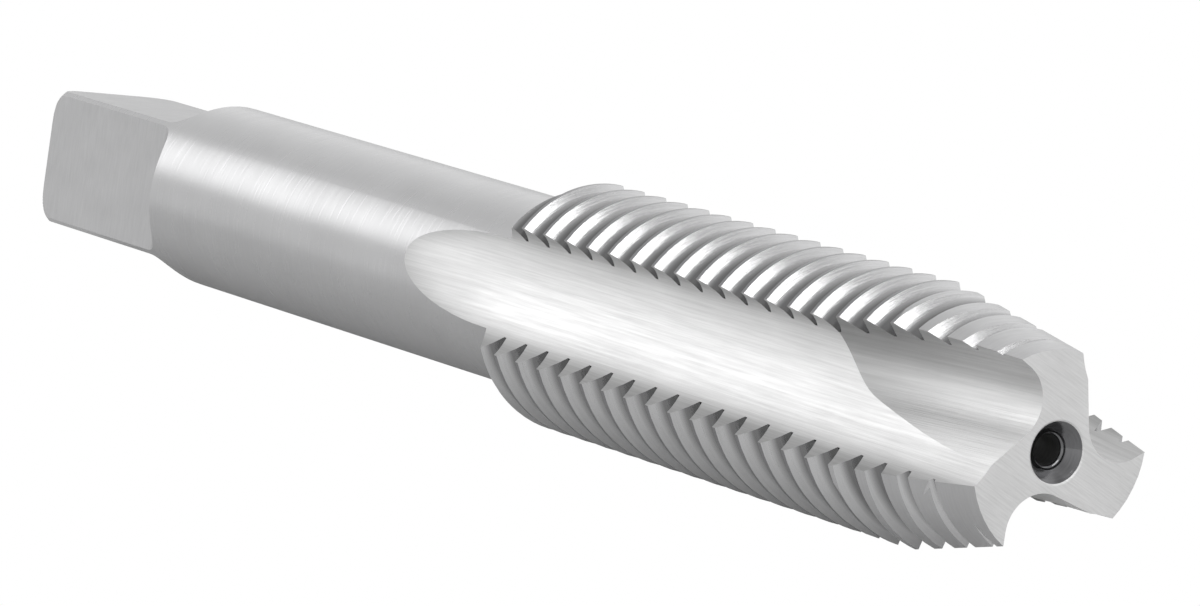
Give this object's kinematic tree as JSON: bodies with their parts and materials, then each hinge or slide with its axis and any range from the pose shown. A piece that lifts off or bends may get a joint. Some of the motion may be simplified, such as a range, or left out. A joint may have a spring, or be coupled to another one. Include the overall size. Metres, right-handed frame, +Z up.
{
  "type": "thread tap",
  "caption": "Spiral-point plug tap for a right-hand thread, with straight flutes, a round shank and a driving square.",
  "frame": {"origin": "centre of the flat front face at the cutting end, on the tap's axis", "axes": "+X out of the cutting end along the tap's axis, +Z up with the tap lying on its side on two lands, one flute straight down"},
  "size_m": [0.089, 0.0126, 0.0118],
  "materials": {
    "steel": "ground and polished"
  },
  "bodies": {
    "root": {"tap": "steel"}
  },
  "joints": []
}
